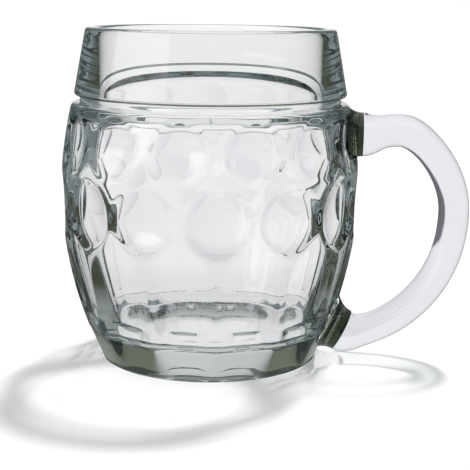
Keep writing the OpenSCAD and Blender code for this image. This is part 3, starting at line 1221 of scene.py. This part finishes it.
@dataclass
class Studio:
    """The white table, the bright field behind the mug, its dark surroundings and the lamp."""

    camera_turn: float
    field: Colour = (1.0, 0.995, 1.0, 1.0)
    ambient: float = 0.3
    dark: Colour = (0.12, 0.145, 0.15, 1.0)
    calm: Colour = (0.28, 0.33, 0.345, 1.0)
    calm_after: int = 2
    windows: tuple[SkyWindow, ...] = (
        SkyWindow(azimuth=0, half_width=14, low=-30, high=40, soft=6, radiance=0.95),
        SkyWindow(azimuth=-116, half_width=28, low=5, high=52, soft=3, radiance=1.8),
        SkyWindow(azimuth=0, half_width=180, low=46, high=95, soft=14, radiance=0.9),
        SkyWindow(azimuth=0, half_width=75, low=-20, high=60, soft=40, radiance=0.07),
    )
    floor_half: float = 40.0
    floor_drop: float = 0.00006
    floor_colour: Colour = grey(0.8)
    floor_glow: float = 0.1
    # painted shade under the mug, for rays that come straight through the glass
    clear_table: tuple[ToneStop, ...] = (
        ToneStop(0.05, (0.86, 0.855, 0.875, 1.0)),
        ToneStop(0.22, (1.0, 0.995, 1.0, 1.0)),
    )
    # painted dark tones for rays mirrored in the glass, so that they see the table dark
    mirrored_table: tuple[ToneStop, ...] = (
        ToneStop(0.03, (0.6, 0.62, 0.6, 1.0)),
        ToneStop(0.06, (0.23, 0.26, 0.255, 1.0)),
        ToneStop(0.1, (0.055, 0.062, 0.04, 1.0)),
        ToneStop(0.33, (0.055, 0.062, 0.04, 1.0)),
        ToneStop(0.45, (0.2, 0.235, 0.24, 1.0)),
    )
    lamp_turn: float = -20.0
    lamp_height: float = 61.5
    lamp_spread: float = 5.0
    lamp_power: float = 3.15
    glass_bounces: int = 16
    mirror_bounces: int = 10
    shadow_bounces: int = 32

    def mirrored(self, tree: Tree, path: bpy.types.Node, times: int) -> Socket:
        """Whether a ray was mirrored more than a number of times."""
        return calculate(tree, "GREATER_THAN", path.outputs[Ray.MIRRORED.value], float(times))

    def sky(self) -> None:
        """Light the world by the kind of ray: white where it comes straight, dark where mirrored."""
        world = bpy.data.worlds.new("studio")
        bpy.context.scene.world = world
        world.use_nodes = True
        tree = world.node_tree
        place = tree.nodes.new("ShaderNodeTexCoord")
        direction = turn_level(tree, place.outputs["Generated"], -self.camera_turn)
        path = tree.nodes.new("ShaderNodeLightPath")
        lights: object = 0.0
        for window in self.windows:
            lights = calculate(tree, "ADD", lights, window.add(tree, direction))
        room = choose(tree, lights, self.dark, grey(1.0))
        room = choose(tree, self.mirrored(tree, path, self.calm_after), room, self.calm)
        seen = choose(tree, self.mirrored(tree, path, 0), self.field, room)
        lit = choose(tree, path.outputs[Ray.DIFFUSE.value], seen, grey(self.ambient))
        light = choose(tree, path.outputs[Ray.CAMERA.value], lit, grey(1.0))
        tree.links.new(light, tree.nodes["Background"].inputs["Color"])

    def table(self) -> bpy.types.Object:
        """Lay the white table.

        Returns:
            The table's object.
        """
        bm = bmesh.new()
        bmesh.ops.create_grid(bm, x_segments=1, y_segments=1, size=self.floor_half)
        bmesh.ops.translate(bm, vec=(0, 0, -self.floor_drop), verts=bm.verts)
        table = new_object("table", bm)
        table.data.materials.append(self.table_finish())
        return table

    def table_finish(self) -> bpy.types.Material:
        """Make the table's material.

        Returns:
            A matt white that holds the shadow, and for rays that come by way of the glass a glow that
            carries painted shade near the mug.
        """
        material = bpy.data.materials.new("white_table")
        material.use_nodes = True
        tree = material.node_tree
        tree.nodes.remove(tree.nodes["Principled BSDF"])
        path = tree.nodes.new("ShaderNodeLightPath")
        matt = tree.nodes.new("ShaderNodeBsdfDiffuse")
        glow = tree.nodes.new("ShaderNodeEmission")
        painted_table_glow = tree.nodes.new("ShaderNodeEmission")
        direct = tree.nodes.new("ShaderNodeAddShader")
        place = tree.nodes.new("ShaderNodeTexCoord")
        reach = tree.nodes.new("ShaderNodeVectorMath")
        reach.operation = "LENGTH"
        shown = calculate(tree, "MULTIPLY", path.outputs[Ray.CAMERA.value], self.floor_glow)
        clear = self.toned(tree, reach.outputs["Value"], self.clear_table)
        mirror = self.toned(tree, reach.outputs["Value"], self.mirrored_table)
        mirror = choose(tree, self.mirrored(tree, path, self.calm_after), mirror, self.calm)
        tone = choose(tree, self.mirrored(tree, path, 0), clear, mirror)
        fed = (
            (matt.inputs["Color"], self.floor_colour),
            (glow.inputs["Strength"], shown),
            (direct.inputs[0], matt.outputs["BSDF"]),
            (direct.inputs[1], glow.outputs["Emission"]),
            (reach.inputs[0], place.outputs["Object"]),
            (painted_table_glow.inputs["Color"], tone),
        )
        for socket, term in fed:
            feed(tree, socket, term)
        glossy, clear_ray = (path.outputs[ray.value] for ray in (Ray.GLOSSY, Ray.CLEAR))
        by_glass = calculate(tree, "MAXIMUM", glossy, clear_ray)
        both = mix_shaders(tree, by_glass, direct.outputs["Shader"], painted_table_glow.outputs["Emission"])
        tree.links.new(both, tree.nodes["Material Output"].inputs["Surface"])
        return material

    def toned(self, tree: Tree, reach: Socket, stops: tuple[ToneStop, ...]) -> Socket:
        """Colour the table's glow by distance, with painted shade near the mug.

        Args:
            tree: the table's node tree.
            reach: distance from the middle of the mug.
            stops: the tones, from near to far.

        Returns:
            The colour at a point of the table.
        """
        ramp = tree.nodes.new("ShaderNodeValToRGB")
        ramp.color_ramp.interpolation = "EASE"
        elements = ramp.color_ramp.elements
        while len(elements) < len(stops):
            elements.new(1.0)
        for element, stop in zip(elements, stops):
            element.position = stop.distance
            element.color = stop.colour
        tree.links.new(reach, ramp.inputs["Fac"])
        return ramp.outputs["Color"]

    def lamp(self) -> bpy.types.Object:
        """Hang the far lamp behind the mug, which casts its shadow towards the camera.

        Returns:
            The lamp's object.
        """
        light = bpy.data.lights.new("back_lamp", "SUN")
        light.angle = math.radians(self.lamp_spread)
        light.energy = self.lamp_power
        lamp = bpy.data.objects.new("back_lamp", light)
        bpy.context.scene.collection.objects.link(lamp)
        turn, height = math.radians(self.lamp_turn), math.radians(self.lamp_height)
        towards = Vector(
            (-math.sin(turn) * math.cos(height), math.cos(turn) * math.cos(height), math.sin(height))
        )
        lamp.rotation_euler = towards.to_track_quat("Z", "Y").to_euler()
        lamp.visible_glossy = False
        lamp.visible_transmission = False
        return lamp

    def build(self) -> None:
        """Set up the world, the table, the lamp and how light is followed through the glass."""
        scene = bpy.context.scene
        scene.view_settings.view_transform = "Standard"
        scene.cycles.max_bounces = self.glass_bounces
        scene.cycles.transmission_bounces = self.glass_bounces
        scene.cycles.glossy_bounces = self.mirror_bounces
        scene.cycles.transparent_max_bounces = self.shadow_bounces
        self.sky()
        self.table()
        self.lamp()


@dataclass(frozen=True)
class Viewpoint:
    """Where the photograph was taken from, in metres and degrees, before it is turned round the mug."""

    turn: float = 3.0
    side: float = 0.00931
    away: float = 0.45258
    height: float = 0.13267
    pitch: float = 11.03
    roll: float = 0.65
    lens: float = 95.69
    sensor: float = 36.0
    clip_near: float = 0.01
    clip_far: float = 20.0

    def build(self) -> bpy.types.Object:
        """Set up the camera.

        Returns:
            The camera's object.
        """
        data = bpy.data.cameras.new("camera")
        data.lens = self.lens
        data.sensor_width = self.sensor
        data.clip_start = self.clip_near
        data.clip_end = self.clip_far
        camera = bpy.data.objects.new("camera", data)
        bpy.context.scene.collection.objects.link(camera)
        turned = Matrix.Rotation(math.radians(self.turn), 4, "Z")
        placed = Matrix.Translation((self.side, -self.away, self.height))
        tipped = Matrix.Rotation(math.radians(90 - self.pitch), 4, "X")
        rolled = Matrix.Rotation(math.radians(self.roll), 4, "Z")
        camera.matrix_world = turned @ placed @ tipped @ rolled
        bpy.context.scene.camera = camera
        return camera


BODY_GLASS = GlassFinish(
    name="clear_body_glass",
    ior=1.5,
    pale=(1.0, 0.999, 1.0, 1.0),
    # streak tint, which also gives the painted dimple shade
    streak_and_dimple_shade=(0.93, 0.924, 0.945, 1.0),
    absorbed=(0.31, 0.42, 0.38, 1.0),
    density=6.0,
    haze=0.004,
    ripple_height=0.005,
    # painted shade at grazing edges, and painted shade of the pads, heel and collar ledge
    edge=(0.3, 0.36, 0.32, 1.0),
    painted_edge_from=0.72,
    painted_shade=(0.03, 0.04, 0.022, 1.0),
    shade_slant=3.2,
    shade_gain=6.0,
    shade_from=-1.0,
    shade_to=0.0,
    shadow_clear=grey(0.99),
    shadow_rim=(0.2, 0.22, 0.22, 1.0),
    shadow_from=0.35,
    shadow_to=0.85,
)
HANDLE_GLASS = GlassFinish(
    name="clear_handle_glass",
    ior=1.5,
    pale=(0.9, 0.9, 0.935, 1.0),
    streak_and_dimple_shade=(0.86, 0.86, 0.9, 1.0),
    absorbed=(0.45, 0.65, 0.6, 1.0),
    density=4.0,
    haze=0.004,
    ripple_height=0.02,
    # painted shade at the bar's grazing edges, and the painted dark line on its inner edge
    edge=(0.35, 0.37, 0.38, 1.0),
    painted_edge_from=0.5,
    painted_shade=(0.03, 0.03, 0.04, 1.0),
    shade_slant=0.0,
    shade_gain=0.0,
    shade_from=0.02,
    shade_to=0.2,
    shadow_clear=(0.98, 0.985, 0.985, 1.0),
    shadow_rim=(0.38, 0.41, 0.4, 1.0),
    shadow_from=0.3,
    shadow_to=0.9,
)


def main() -> None:
    """Build the studio and the mug's two pieces, and report each piece."""
    logging.basicConfig(level=logging.INFO, format="%(message)s")
    view = Viewpoint()
    view.build()
    Studio(camera_turn=view.turn).build()
    skin = GlassSkin().build()
    vessel = MugBody()
    body = vessel.build()
    vessel.dress(body, BODY_GLASS.material(skin))
    loop = LoopHandle(vessel)
    bar = loop.build()
    loop.dress(bar, HANDLE_GLASS.material(skin))
    for piece in (body, bar):
        LOG.info("%s: %d faces", piece.name, len(piece.data.polygons))


if __name__ == "__main__":
    main()
